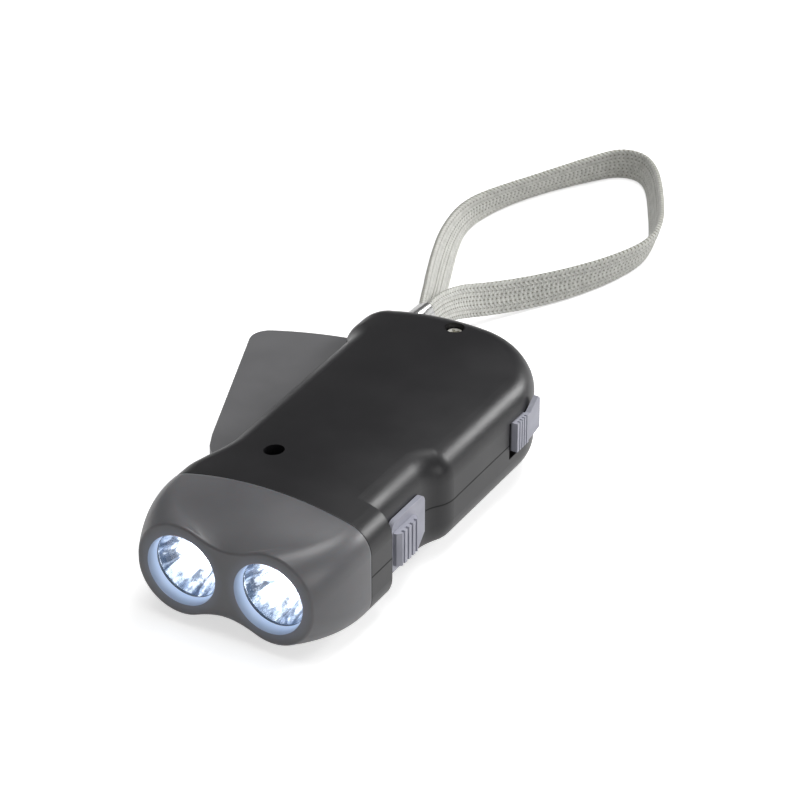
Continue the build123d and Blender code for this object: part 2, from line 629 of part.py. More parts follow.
# ---- Head ----
def head_section(x, inset):
    """Closed outline across the head: the body's crowned section at the seam, two joined rims at the front."""
    share = max(0.0, (x - SEAM_X) / HEAD_LENGTH) ** HEAD_SWELL

    def between(at_seam, at_rim):
        return at_seam + (at_rim - at_seam) * share

    half = LENS_PITCH / 2
    edge_y = HALF_WIDTH - EDGE_R
    edge_z = HALF_THICK - CROWN_R + math.sqrt((CROWN_R - EDGE_R) ** 2 - edge_y**2)
    dip_top = math.sqrt((LOBE_RADIUS + DIP_R) ** 2 - half**2) - DIP_R
    y, z = between(edge_y, half), between(edge_z, RIM_FLAT)
    corner_r = between(EDGE_R, LOBE_RADIUS) - inset
    top = between(HALF_THICK, dip_top) - inset
    # the roof arc passes through the middle of the top and touches the corner arc; a dip has a negative radius
    roof_r = (corner_r**2 - y**2 - (top - z) ** 2) / (2 * (corner_r - (top - z)))
    lean = math.degrees(math.atan2((z - top + roof_r) / roof_r, y / roof_r))
    touch = polar((y, z), corner_r, lean)
    turn = polar((y, z), corner_r, lean / 2)
    flank = y + corner_r

    def corner(side, up):
        points = [(side * py, up * pz) for py, pz in (touch, turn, (flank, z))]
        return ThreePointArc(*(points if side * up > 0 else points[::-1]))

    outline = [
        ThreePointArc((-touch[0], touch[1]), (0, top), touch), corner(1, 1), Line((flank, z), (flank, -z)),
        corner(1, -1), ThreePointArc((touch[0], -touch[1]), (0, -top), (-touch[0], -touch[1])),
        corner(-1, -1), Line((-flank, -z), (-flank, z)), corner(-1, 1),
    ]
    plane = Plane(origin=(x, 0, MID_Z), x_dir=(0, 1, 0), z_dir=(1, 0, 0))
    return plane * make_face(outline)


def head_loft(inset, front):
    shares = (0.0, 0.35, 0.65, 0.85, 1.0)
    return loft([head_section(SEAM_X + s * (front - SEAM_X), inset) for s in shares])


def lens_at(side, x):
    """Place on a lens axis, local Z along the beam."""
    return Pos(x, side * LENS_PITCH / 2, MID_Z) * Rot(0, 90, 0)


def head_shroud():
    """Smoky head: tapering shell, two lens mouths, and the spigot that plugs into the case."""
    shell_out = head_loft(0, FRONT_X)
    rim = [e for e in shell_out.edges() if e.bounding_box().min.X > FRONT_X - 0.01]
    shell_out = fillet(rim, RIM_ROUND)
    room = head_loft(HEAD_WALL, FRONT_X) & block(
        (SEAM_X - 1, FRONT_X - HEAD_FRONT_WALL), (-LENGTH, LENGTH), (-LENGTH, LENGTH))
    outer = body_form(WALL + FIT, SEAM_X + 1.5)
    inner = body_form(WALL + FIT + SPIGOT_WALL, SEAM_X + 2.5)
    spigot = between_x(outer - inner, SEAM_X - SPIGOT_LENGTH, SEAM_X + 1.5)
    body = shell_out - room
    body += spigot
    for side in (-1, 1):
        body -= lens_at(side, LENS_BACK_X - OVER) * extrude(Circle(LENS_R + 0.1), OVER)
        body -= lens_at(side, LENS_BACK_X) * extrude(Circle(MOUTH_R - MOUTH_DRAFT), MOUTH_DEPTH + 1)
        flare = Cone(MOUTH_R - MOUTH_DRAFT, MOUTH_R, MOUTH_DEPTH, align=(Align.CENTER, Align.CENTER, Align.MIN))
        body -= lens_at(side, LENS_BACK_X) * flare
    return above(body, 0)


def lens(side):
    disc = extrude(Circle(LENS_R), LENS_THICK)
    return lens_at(side, LENS_BACK_X - LENS_THICK) * fillet(disc.edges().sort_by(Axis.Z)[-1:], 0.4)


LED_BOARD_X = SEAM_X + 2.0
REFLECTOR_BACK_X = LED_BOARD_X + LED_BOARD_THICK
REFLECTOR_DEPTH = LENS_BACK_X - LENS_THICK - REFLECTOR_BACK_X


def reflector(side):
    """Bowl from the LED's neck out to the lens."""
    wide = LENS_R - 0.3
    neck = REFLECTOR_NECK_R
    depth = REFLECTOR_DEPTH
    belly = ((wide + neck) * 0.56, depth * 0.4)
    t = REFLECTOR_WALL
    profile = make_face([
        Line((neck, 0), (neck + t, 0)),
        ThreePointArc((neck + t, 0), (belly[0] + t, belly[1] - t * 0.3), (wide, depth - 0.6)),
        Line((wide, depth - 0.6), (wide, depth)),
        Line((wide, depth), (wide - t, depth)),
        ThreePointArc((wide - t, depth), belly, (neck, 1.0)),
        Line((neck, 1.0), (neck, 0)),
    ])
    bowl = revolve(Plane.XZ * profile, Axis.Z)
    return lens_at(side, REFLECTOR_BACK_X) * bowl


def led(side):
    """Round LED: flange, barrel and domed tip."""
    body = extrude(Circle(LED_R + 0.4), 1.0) + extrude(Circle(LED_R), 5.2) + Pos(0, 0, 5.2) * Sphere(LED_R)
    return lens_at(side, REFLECTOR_BACK_X) * body


def led_board():
    high = 2 * (HALF_THICK - HEAD_WALL - LED_BOARD_GAP)
    face = RectangleRounded(LENS_PITCH + 2 * LENS_R, high, 4)
    return Pos(LED_BOARD_X, 0, MID_Z) * Rot(0, 90, 0) * Rot(0, 0, 90) * extrude(face, LED_BOARD_THICK)


# ---- Electrics ----
def battery_cell():
    top = CELL_BOTTOM + CELL_THICK
    body = rod((CELL_X, CELL_Y), CELL_R, CELL_BOTTOM, top)
    return body - tube((CELL_X, CELL_Y), CELL_R + 1, CELL_R - 1.2, top - 0.7, LENGTH)


def cell_clip():
    """Spring strip over the cell, with a turned-down foot at each end."""
    low = CELL_BOTTOM + CELL_THICK
    y = (CELL_Y - 2, CELL_Y + 2)
    half, thick = CELL_CLIP_HALF, CELL_CLIP_THICK
    strip = block((CELL_X - half, CELL_X + half), y, (low, low + thick))
    for side in (-1, 1):
        x = CELL_X + side * (half - thick / 2)
        strip += block((x - thick / 2, x + thick / 2), y, (CELL_BOTTOM - 0.8, low + thick))
    return strip


def circuit_board():
    board = block(BOARD_X, BOARD_Y, (BOARD_Z, BOARD_Z + BOARD_THICK))
    x, y, _, post_r = CASE_SCREWS[1]
    board -= rod((x, y), post_r + 0.4, 0, LENGTH)
    return board - rod(PIVOT, 6.5, 0, LENGTH)


def diodes():
    """Bridge rectifier: four small barrels in a row."""
    x, y = DIODE_AT
    barrel = Rot(0, 90, 0) * Cylinder(DIODE_R, DIODE_LONG)
    return [Pos(x, y + DIODE_PITCH * i, BOARD_Z + BOARD_THICK + DIODE_R) * barrel for i in range(DIODES)]


def capacitor():
    low = BOARD_Z + BOARD_THICK
    return rod(CAPACITOR_AT, CAPACITOR_R, low, low + CAPACITOR_HIGH)


def switch_body():
    """Slide switch soldered to the board edge; the knob's stem works its actuator."""
    z = BOARD_Z + BOARD_THICK
    return block((9.5, 20.5), (14.5, BOARD_Y[1] - 0.4), (z, z + 2.2)) - block(
        (10.6, 19.4), (17.4, 21), (z + 0.8, z + 3))


def rib_grooves(x, ribs, floor_y):
    """Upright grooves that leave so many ribs between two X values."""
    pitch = (x[1] - x[0]) / ribs
    middles = [x[0] + i * pitch for i in range(1, ribs)]
    grooves = [block((m - pitch / 5, m + pitch / 5), (floor_y, 2 * LENGTH), (0, LENGTH)) for m in middles]
    return Part() + grooves


def switch_slider():
    """Side plate with its ribbed thumb block, and the stem through the case wall."""
    y0 = WAIST_Y + FIT
    y1 = y0 + SWITCH_PLATE
    x, z = SWITCH_X, SWITCH_Z
    plane = Plane(origin=(0, y0, 0), x_dir=(1, 0, 0), z_dir=(0, -1, 0))
    outline = Polygon((x[0], z[0] + 3), (x[0] + 3, z[0]), (x[1], z[0]), (x[1], z[1]), (x[0], z[1]), align=None)
    corners = [v for v in outline.vertices() if v.Y > z[1] - 0.1]
    outline = fillet(corners, 2.0)
    plate = extrude(plane * outline, -SWITCH_PLATE)
    thumb = block(THUMB_X, (y1 - 0.1, y1 + THUMB_HIGH), THUMB_Z)
    thumb = chamfer(thumb.edges().filter_by(Axis.Z).sort_by(Axis.Y)[-2:], 1.0)
    thumb -= rib_grooves(THUMB_X, THUMB_RIBS, y1 + THUMB_HIGH - RIB_DEEP)
    stem = block(STEM_X, (WAIST_Y - WALL - 1.5, y0 + 0.1), STEM_Z)
    return plate + thumb + stem


def latch_slider():
    """Lever lock: ribbed block in its slot, a paddle that clears the tail, and the inner hook arm."""
    out = HALF_WIDTH + LATCH_PROUD
    inside = HALF_WIDTH - WALL - 0.3
    front, rear = LATCH_X[1], LATCH_X[0]
    knob = block(LATCH_X, (inside - 0.8, out), LATCH_Z)
    knob -= rib_grooves(LATCH_X, LATCH_RIBS, out - RIB_DEEP)
    paddle = Polygon(
        (rear + 0.5, LATCH_Z[0] + 0.4), (rear + 0.5, LATCH_Z[1]), (rear - 0.5, LATCH_Z[1]),
        (PADDLE_END_X + 0.9, PADDLE_Z[1]), (PADDLE_END_X, PADDLE_Z[1] - 0.9), (PADDLE_END_X, PADDLE_Z[0] + 0.4),
        align=None,
    )
    plane = Plane(origin=(0, out - PADDLE_THICK, 0), x_dir=(1, 0, 0), z_dir=(0, -1, 0))
    knob += extrude(plane * paddle, -PADDLE_THICK)
    flange_z = (LATCH_SLOT_Z[0] - 1, LATCH_SLOT_Z[1] + 1)
    knob += block((rear - 0.5, front + LATCH_SLOT_GAP + 1), (inside - 2.0, inside - 0.75), flange_z)
    knob += block(LATCH_ARM_X, (LATCH_RISER_Y[0], inside - 1.0), (LATCH_Z[0] + 1, LATCH_Z[1]))
    knob += block(LATCH_ARM_X, LATCH_RISER_Y, (LATCH_Z[0] + 1, LATCH_ARM_Z[1]))
    knob += block(LATCH_ARM_X, (LATCH_ARM_END_Y, LATCH_RISER_Y[1]), LATCH_ARM_Z)
    hook_y = (LATCH_ARM_END_Y, LATCH_ARM_END_Y + 1.9)
    return knob + block(LATCH_ARM_X, hook_y, (LEVER_TOP + 0.3, LATCH_ARM_Z[1]))


# ---- Strap ----
def strap_clip():
    """Folded sheet-metal sleeve crimped on both strap ends, with a tongue held by the anchor pin."""
    long = CLIP_END - CLIP_START
    sleeve = Box(long, CLIP_THICK, CLIP_HEIGHT)
    sleeve = fillet(sleeve.edges().filter_by(Axis.X), CLIP_EDGE_R)
    body = clip_frame((CLIP_START + CLIP_END) / 2, MID_Z) * Rot(CLIP_ROLL, 0, 0) * sleeve
    pocket = Box(long, 2 * STRAP_THICK + 0.2, STRAP_WIDTH + 0.5)
    body -= clip_frame(CLIP_START + CLIP_BLIND + long / 2, MID_Z) * Rot(CLIP_ROLL, 0, 0) * pocket
    tongue = clip_frame(CLIP_START / 2 + 0.2, MID_Z) * Box(CLIP_START + 0.8, TONGUE_THICK, CLIP_HEIGHT - 1.6)
    eye = rod((ANCHOR_X, ANCHOR_Y), ANCHOR_R + EYE_WALL, MID_Z - EYE_HALF, MID_Z + EYE_HALF)
    body += tongue & clip_frame(CLIP_START / 2 + 1.0, MID_Z) * Box(CLIP_START + 0.8, CLIP_THICK, CLIP_HEIGHT)
    return body + eye - rod((ANCHOR_X, ANCHOR_Y), ANCHOR_R + RUNNING, 0, LENGTH)


def anchor_pin():
    return rod((ANCHOR_X, ANCHOR_Y), ANCHOR_R, MID_Z - ANCHOR_HALF, MID_Z + ANCHOR_HALF)


def corner_radii(route):
    """Each bend is as large as its two runs allow."""
    radii = []
    for before, here, after in zip(route, route[1:], route[2:]):
        a = Vector(*here) - Vector(*before)
        b = Vector(*after) - Vector(*here)
        turn = math.radians(a.get_angle(b))
        radii.append(0.45 * min(a.length, b.length) / math.tan(turn / 2))
    return radii


def strap():
    """Flat braid standing on edge, out of the clip, round the loop and back into it."""
    radii = corner_radii(STRAP_ROUTE)
    print("strap bend radii", [round(r, 1) for r in radii])
    path = FilletPolyline(*STRAP_ROUTE, radius=radii)
    out = path % 0
    up = Vector(0, 0, 1).rotate(Axis.X, -CLIP_ROLL)
    start = Plane(origin=path @ 0, x_dir=up - out * out.dot(up), z_dir=out)
    body = sweep(start * Rectangle(STRAP_WIDTH, STRAP_THICK), path)
    length = sum(e.length for e in path.edges())
    print("strap length", round(length, 1), "volume share", round(body.volume / length / STRAP_WIDTH / STRAP_THICK, 3))
    return body


def save(name, shape):
    """One file for each piece; a list is a group of like pieces."""
    if isinstance(shape, list):
        shape = Compound(children=[s.solid() for s in shape])
    export_step(shape, f"parts/{name}.step")


def main():
    os.makedirs("parts", exist_ok=True)
    case = shell()
    save("upper_housing", upper_housing(case))
    save("lower_housing", lower_housing(case))
    save("head_shroud", head_shroud())
    for name, side in (("left", -1), ("right", 1)):
        save(f"lens_{name}", lens(side))
        save(f"reflector_{name}", reflector(side))
        save(f"led_{name}", led(side))
    save("led_board", led_board())
    save("lever", lever())
    save("lever_pin", lever_pin())
    save("lever_spring", lever_spring())
    save("drive_gear", drive_gear())
    save("step_gear", step_gear())
    save("rotor", rotor())
    save("rotor_magnet", magnet())
    top = BRIDGE_Z + BRIDGE_THICK
    save("drive_axle", axle(DRIVE_AT, WALL - AXLE_SINK, top))
    save("step_axle", axle(STEP_AT, WALL - AXLE_SINK, top))
    save("rotor_axle", axle(ROTOR_AT, WALL - AXLE_SINK, top))
    save("gear_bridge", gear_bridge())
    save("bridge_screws", bridge_screws())
    save("stator_core", stator_core())
    save("coil_bobbin", bobbin())
    save("coil_winding", coil())
    save("battery_cell", battery_cell())
    save("cell_clip", cell_clip())
    save("circuit_board", circuit_board())
    save("rectifier_diodes", diodes())
    save("smoothing_capacitor", capacitor())
    save("switch_body", switch_body())
    save("switch_slider", switch_slider())
    save("latch_slider", latch_slider())
    save("case_screws", case_screws())
    save("strap_clip", strap_clip())
    save("anchor_pin", anchor_pin())
    save("wrist_strap", strap())


main()
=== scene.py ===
import math

import bmesh
import bpy
import numpy as np
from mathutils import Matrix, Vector


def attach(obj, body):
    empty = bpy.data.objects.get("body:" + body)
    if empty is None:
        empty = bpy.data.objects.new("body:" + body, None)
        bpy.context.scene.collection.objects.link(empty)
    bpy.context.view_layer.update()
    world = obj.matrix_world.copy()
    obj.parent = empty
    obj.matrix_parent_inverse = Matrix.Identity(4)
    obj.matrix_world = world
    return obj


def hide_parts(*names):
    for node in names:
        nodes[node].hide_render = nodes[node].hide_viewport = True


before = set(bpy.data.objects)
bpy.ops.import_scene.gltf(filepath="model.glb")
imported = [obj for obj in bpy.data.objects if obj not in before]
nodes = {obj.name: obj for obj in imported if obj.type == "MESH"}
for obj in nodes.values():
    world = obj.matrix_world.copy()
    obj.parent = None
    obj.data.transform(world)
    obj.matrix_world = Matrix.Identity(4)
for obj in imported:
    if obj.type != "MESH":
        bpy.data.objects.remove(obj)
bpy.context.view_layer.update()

# ---- Camera ----
# A long lens looks down on the torch from in front of its switch side, as in the photograph.
CAMERA_AT = (0.548455, 0.328060, 0.413699)
CAMERA_LOOK = (-0.74494, -0.42836, -0.51144)
CAMERA_ANGLE_DEG = 14.0

camera_data = bpy.data.cameras.new("camera")
camera_data.angle = math.radians(CAMERA_ANGLE_DEG)
camera_data.clip_start, camera_data.clip_end = 0.01, 20.0
camera = bpy.data.objects.new("camera", camera_data)
camera.location = CAMERA_AT
camera.rotation_mode = "QUATERNION"
camera.rotation_quaternion = Vector(CAMERA_LOOK).to_track_quat("-Z", "Y")
bpy.context.scene.collection.objects.link(camera)
bpy.context.scene.camera = camera


# ---- Floor and light ----
# A white table under soft studio light: one broad lamp overhead, two small ones behind the switch
# side that draw bright lines on the case edge and the head, a weak one on that side, and a dim sky.
class Socket:
    """One output of a shader node. Sums, products and powers of it add Math nodes."""

    def __init__(self, tree, out):
        self.tree, self.out = tree, out

    def add(self, kind, sockets=(), out=0, **settings):
        """A node of this kind: its settings first, then a value or a link for each named input."""
        made = self.tree.nodes.new(kind)
        for name, value in settings.items():
            setattr(made, name, value)
        for name, value in dict(sockets).items():
            if isinstance(value, Socket):
                self.tree.links.new(value.out, made.inputs[name])
            else:
                made.inputs[name].default_value = value
        return Socket(self.tree, made.outputs[out])

    def maths(self, operation, *others):
        """A Math node that takes this first."""
        return self.add("ShaderNodeMath", dict(enumerate((self, *others))), operation=operation)

    def __add__(self, other):
        return self.maths("ADD", other)

    def __sub__(self, other):
        return self.maths("SUBTRACT", other)

    def __rsub__(self, other):
        return self.add("ShaderNodeMath", {0: other, 1: self}, operation="SUBTRACT")

    def __mul__(self, other):
        return self.maths("MULTIPLY", other)

    def __pow__(self, other):
        return self.maths("POWER", other)

    def part(self, axis):
        """One axis of a vector."""
        return self.add("ShaderNodeSeparateXYZ", {0: self}, out="XYZ".index(axis))

    def soft_step(self, low, high, to_low=0.0, to_high=1.0):
        """Smooth change from to_low to to_high as this goes from low to high."""
        ends = {"From Min": low, "From Max": high, "To Min": to_low, "To Max": to_high}
        return self.add("ShaderNodeMapRange", {"Value": self, **ends}, interpolation_type="SMOOTHSTEP")

    def noise(self, scale, detail=2.0, roughness=0.5):
        inputs = {"Vector": self, "Scale": scale, "Detail": detail, "Roughness": roughness}
        return self.add("ShaderNodeTexNoise", inputs)

    def blend(self, low, high):
        """A colour between two, this being the share of the second."""
        inputs = {0: self, 6: colour_of(low), 7: colour_of(high)}
        return self.add("ShaderNodeMix", inputs, out=2, data_type="RGBA")

    def bump(self, strength, distance):
        inputs = {"Height": self, "Strength": strength, "Distance": distance}
        return self.add("ShaderNodeBump", inputs)


def colour_of(value):
    return value if isinstance(value, Socket) else (*value, 1.0)


NOISE_SPREAD = (0.3, 0.7)  # the part of a noise's range that a blend is stretched over


def blank_material(name):
    """A material with only its output node, and a socket to start from: the place on the object."""
    made = bpy.data.materials.new(name)
    made.use_nodes = True
    tree = made.node_tree
    tree.nodes.clear()
    output = tree.nodes.new("ShaderNodeOutputMaterial")
    place = Socket(tree, tree.nodes.new("ShaderNodeTexCoord").outputs["Object"])
    return made, place, output


def table_material():
    made, place, output = blank_material("white_table")
    path = place.tree.nodes.new("ShaderNodeLightPath")
    seen = Socket(place.tree, path.outputs["Is Camera Ray"])
    mirrored = Socket(place.tree, path.outputs["Is Glossy Ray"])
    through = Socket(place.tree, path.outputs["Is Transmission Ray"])
    shown = seen + mirrored * MIRRORED_LIFT + through
    white = place.add("ShaderNodeBsdfDiffuse", {"Color": (0.8, 0.8, 0.8, 1.0)})
    lift = place.add("ShaderNodeEmission", {"Color": (1.0, 1.0, 1.0, 1.0), "Strength": shown * TABLE_LIFT})
    both = place.add("ShaderNodeAddShader", {0: white, 1: lift})
    place.tree.links.new(both.out, output.inputs["Surface"])
    return made


TABLE_HALF = 3.0
TABLE_LIFT = 0.63  # glow that brings the table to the photograph's white
MIRRORED_LIFT = 0.6  # share of the glow that the torch mirrors
table_mesh = bpy.data.meshes.new("table")
table_mesh.from_pydata(
    [(-TABLE_HALF, -TABLE_HALF, 0), (TABLE_HALF, -TABLE_HALF, 0), (TABLE_HALF, TABLE_HALF, 0),
     (-TABLE_HALF, TABLE_HALF, 0)], [], [(0, 1, 2, 3)])
table = bpy.data.objects.new("table", table_mesh)
bpy.context.scene.collection.objects.link(table)
table_mesh.materials.append(table_material())

SKY_STRENGTH = 0.14
sky = bpy.data.worlds.new("sky")
sky.use_nodes = True
sky.node_tree.nodes["Background"].inputs["Color"].default_value = (1.0, 1.0, 1.0, 1.0)
sky.node_tree.nodes["Background"].inputs["Strength"].default_value = SKY_STRENGTH
bpy.context.scene.world = sky
bpy.context.scene.view_settings.view_transform = "Standard"

# name, place, what it points at, side length, power
LAMPS = (
    ("lamp_above", (0.05, -0.02, 1.20), (-0.04, 0.0, 0.0), 0.9, 4.8),
    ("lamp_edge", (-0.78, 0.50, 0.42), (0.0, 0.0, 0.01), 0.30, 4.6),
    ("lamp_shoulder", (-0.40, 0.10, 1.00), (0.03, 0.0, 0.01), 0.42, 3.6),
    ("lamp_front", (0.22, 1.00, 0.45), (0.0, 0.0, 0.01), 0.4, 1.9),
)
for name, at, aim, side, power in LAMPS:
    lamp_data = bpy.data.lights.new(name, "AREA")
    lamp_data.shape = "SQUARE"
    lamp_data.size = side
    lamp_data.energy = power
    lamp = bpy.data.objects.new(name, lamp_data)
    lamp.location = at
    lamp.rotation_mode = "QUATERNION"
    lamp.rotation_quaternion = (Vector(aim) - Vector(at)).to_track_quat("-Z", "Y")
    bpy.context.scene.collection.objects.link(lamp)

# ---- Wrist strap ----
# Flat herringbone braid of off-white yarn, 9 mm wide, in one loop that stands on its edge.
# Both ends are crimped in the clip. It rolls a little from side to side along its length.
STRAP_WIDTH = 0.009
STRAP_THICK = 0.0018
STRAP_ROUTE_MM = (
    (-70.8, -19.1, 15.1), (-77.8, -21.0, 13.2), (-85.8, -22.0, 10.8), (-93.4, -22.0, 8.2),
    (-100.6, -19.4, 6.0), (-109.5, -13.8, 4.8), (-121.0, -6.0, 4.6), (-134.0, 0.4, 4.6),
    (-147.0, 3.8, 4.6), (-158.5, 1.2, 4.6), (-172.0, -5.6, 4.6), (-185.0, -13.0, 4.6),
    (-191.4, -19.4, 4.6), (-190.8, -26.4, 4.6), (-182.0, -32.0, 4.6), (-169.0, -39.0, 4.6),
    (-154.0, -45.6, 4.6), (-141.0, -48.4, 4.6), (-127.0, -45.2, 4.6), (-113.0, -39.8, 4.8),
    (-100.0, -34.0, 6.6), (-89.0, -28.6, 10.4), (-79.0, -24.2, 13.4), (-70.8, -20.8, 14.3),
)
# How far the top edge leans out of the loop at each point of the route, in degrees.
STRAP_LEAN = (
    -25, -21, -16, -14, -9, 0, 10, 18, 20, 20, 19, 10, -5, -15, -22, -20, -5, 12, 28, 33, 32, 30, 27, 25,
)
STRAP_LEAN_WINDOW = 81  # rings over which the lean is evened out
STRAP_EDGE_POWER, STRAP_FACE_POWER = 0.75, 0.30  # how square the section is, across and through
STRAP_ROWS = 8
STRAP_STITCH = 0.00135  # length of one yarn's crossing
STRAP_SLANT = 1.0
STRAP_RELIEF = 0.00030
STRAP_YARN_POWER, STRAP_YARN_SINK = 0.6, 0.6  # how full each yarn swells, and how it sinks at its ends
# the clip squeezes the braid narrower near its ends
STRAP_PINCH, STRAP_PINCH_RUN, STRAP_PINCH_POWER = 0.74, 0.024, 0.7
# painted shade of the crevices where the yarns cross and between the rows
STRAP_CREVICE_SHADE = (0.17, 0.165, 0.115)


def strap_line(points_mm):
    """Points read from the NURBS spline through the given route."""
    curve = bpy.data.curves.new("strap_route", "CURVE")
    curve.dimensions = "3D"
    curve.resolution_u = 48
    spline = curve.splines.new("NURBS")
    spline.points.add(len(points_mm) - 1)
    for point, (x, y, z) in zip(spline.points, points_mm):
        point.co = (x / 1000, y / 1000, z / 1000, 1.0)
    spline.order_u = 3
    spline.use_endpoint_u = True
    holder = bpy.data.objects.new("strap_route", curve)
    line_mesh = bpy.data.meshes.new_from_object(holder)
    line = np.array([v.co for v in line_mesh.vertices], float)
    bpy.data.objects.remove(holder)
    bpy.data.meshes.remove(line_mesh)
    return line


def even_points(line, count):
    """The same line with its points evenly spaced."""
    run = np.concatenate(([0.0], np.cumsum(np.linalg.norm(np.diff(line, axis=0), axis=1))))
    at = np.linspace(0.0, run[-1], count)
    return np.stack([np.interp(at, run, line[:, i]) for i in range(3)], axis=1), at


def unit(vectors):
    return vectors / np.linalg.norm(vectors, axis=-1, keepdims=True)


def grid_mesh(name, points, closed_u=False, closed_v=False, uv=None, smooth=True):
    """Mesh of quads on a grid of points, shape (rows, columns, 3), joined round where it is closed."""
    rows, columns = points.shape[:2]
    row = np.arange(rows if closed_u else rows - 1)
    column = np.arange(columns if closed_v else columns - 1)
    r, c = np.meshgrid(row, column, indexing="ij")
    r2, c2 = (r + 1) % rows, (c + 1) % columns
    quads = np.stack([r * columns + c, r2 * columns + c, r2 * columns + c2, r * columns + c2], axis=-1)
    quads = quads.reshape(-1, 4)
    mesh = bpy.data.meshes.new(name)
    mesh.vertices.add(rows * columns)
    mesh.vertices.foreach_set("co", points.reshape(-1).astype(np.float32))
    mesh.loops.add(quads.size)
    mesh.loops.foreach_set("vertex_index", quads.reshape(-1).astype(np.int32))
    mesh.polygons.add(len(quads))
    mesh.polygons.foreach_set("loop_start", (np.arange(len(quads)) * 4).astype(np.int32))
    mesh.polygons.foreach_set("use_smooth", np.full(len(quads), smooth))
    mesh.update(calc_edges=True)
    if uv is not None:
        layer = mesh.uv_layers.new(name="weave")
        corner_r = np.stack([r, r + 1, r + 1, r], axis=-1).reshape(-1)
        corner_c = np.stack([c, c, c + 1, c + 1], axis=-1).reshape(-1)
        u = np.append(uv[0], uv[0][-1] * 2 - uv[0][-2])[corner_r]
        v = np.append(uv[1], 1.0)[corner_c]
        layer.data.foreach_set("uv", np.stack([u, v], axis=-1).reshape(-1).astype(np.float32))
    return mesh


def show(name, mesh, body, material, slot, *replaced):
    """Puts a finished mesh in the scene as a piece that rides on a body."""
    piece = bpy.data.objects.new(name, mesh)
    bpy.context.scene.collection.objects.link(piece)
    mesh.materials.append(material)
    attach(piece, body)
    if replaced:
        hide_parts(*replaced)
    return piece


def strap_points(rings, around):
    """A rounded flat section carried along the line: the section's long side starts upright and
    leans by the given angle about the line, and each yarn of the braid swells it a little."""
    line, run = even_points(strap_line(STRAP_ROUTE_MM), rings)
    ahead = unit(np.gradient(line, axis=0))
    out = unit(np.cross(ahead, (0.0, 0.0, 1.0)))
    up = np.cross(out, ahead)
    key = np.linspace(0.0, run[-1], len(STRAP_LEAN))
    lean = np.radians(np.interp(run, key, STRAP_LEAN))
    window = np.full(STRAP_LEAN_WINDOW, 1 / STRAP_LEAN_WINDOW)
    lean = np.convolve(np.pad(lean, STRAP_LEAN_WINDOW // 2, mode="edge"), window, "valid")[:, None]
    wide = up * np.cos(lean) + out * np.sin(lean)
    flat = np.cross(ahead, wide)
    turn = np.linspace(0.0, 2 * np.pi, around, endpoint=False)
    across = np.sign(np.cos(turn)) * np.abs(np.cos(turn)) ** STRAP_EDGE_POWER
    through = np.sign(np.sin(turn)) * np.abs(np.sin(turn)) ** STRAP_FACE_POWER
    share = (across + 1) / 2 * STRAP_ROWS
    side = np.where(np.floor(share) % 2 < 1, 1.0, -1.0)
    inside = share - np.floor(share) - 0.5
    phase = run[:, None] / STRAP_STITCH + side[None] * inside[None] * STRAP_SLANT
    phase = phase + (np.sin(turn) > 0)[None] * 0.5
    swell = np.abs(np.sin(np.pi * phase)) ** STRAP_YARN_POWER
    swell = swell * (1 - (2 * inside[None]) ** 4 * STRAP_YARN_SINK)
    half_w = STRAP_WIDTH / 2 - STRAP_RELIEF / 2
    half_t = STRAP_THICK / 2 - STRAP_RELIEF / 2
    relief = (swell - 0.5) * STRAP_RELIEF
    from_end = np.minimum(run, run[-1] - run) / STRAP_PINCH_RUN
    pinch = STRAP_PINCH + (1 - STRAP_PINCH) * np.clip(from_end, 0, 1) ** STRAP_PINCH_POWER
    w = across[None] * half_w * pinch[:, None]
    t = through[None] * (half_t + relief)
    points = line[:, None] + wide[:, None] * w[..., None] + flat[:, None] * t[..., None]
    return points, line, run, (across + 1) / 2


def strap_paint(place):
    """Slanting yarns in rows, the slant turning over from one row to the next, with painted shade where they
    cross and between the rows.
    """
    uv = place.add("ShaderNodeUVMap", uv_map="weave")
    along, across = uv.part("X"), uv.part("Y")
    row = across * STRAP_ROWS
    inside = row.maths("FRACT") - 0.5
    side = (row * 0.5).maths("FRACT").soft_step(0.499, 0.501, 1.0, -1.0)
    phase = along + side * inside * STRAP_SLANT
    wave = (phase * math.pi).maths("SINE").maths("ABSOLUTE")
    between = wave.soft_step(0.0, 0.62, 1.0, 0.0)
    beside = inside.maths("ABSOLUTE").soft_step(0.26, 0.5)
    # painted shade: darker where the yarns cross and at the edges of each row
    crevice_shade = between * (beside * 0.55 + 0.45) + beside * 0.32
    uneven = place.noise(700.0, 3.0)
    fibre = place.noise(5200.0, 2.0)
    tint = uneven.soft_step(0.35, 0.65).blend((0.565, 0.565, 0.532), (0.68, 0.68, 0.642))
    shade = (crevice_shade - fibre * 0.16).soft_step(0.0, 0.85)
    height = (1.0 - crevice_shade) + fibre * 0.3
    return {"Base Color": shade.blend(tint, STRAP_CREVICE_SHADE), "Normal": height.bump(0.8, 0.00018)}


def finish(name, paint, **constants):
    """A Principled material: constants go on its sockets, and paint gives what varies."""
    made, place, output = blank_material(name)
    shader = place.tree.nodes.new("ShaderNodeBsdfPrincipled")
    for label, value in constants.items():
        shader.inputs[label.replace("_", " ")].default_value = value
    for label, value in paint(place).items():
        if isinstance(value, Socket):
            place.tree.links.new(value.out, shader.inputs[label])
        else:
            shader.inputs[label].default_value = value
    place.tree.links.new(shader.outputs["BSDF"], output.inputs["Surface"])
    return made


STRAP_RINGS, STRAP_AROUND = 1500, 56
strap_xyz, strap_centre, strap_run, strap_across = strap_points(STRAP_RINGS, STRAP_AROUND)
strap_mesh = grid_mesh("wrist_strap_braid", strap_xyz, closed_v=True,
                       uv=(strap_run / STRAP_STITCH, strap_across))
strap = show("wrist_strap_braid", strap_mesh, "case",
             finish("strap_yarn", strap_paint, Roughness=0.85, Sheen_Weight=0.25, Sheen_Roughness=0.5),
             "strap_braid", "wrist_strap")


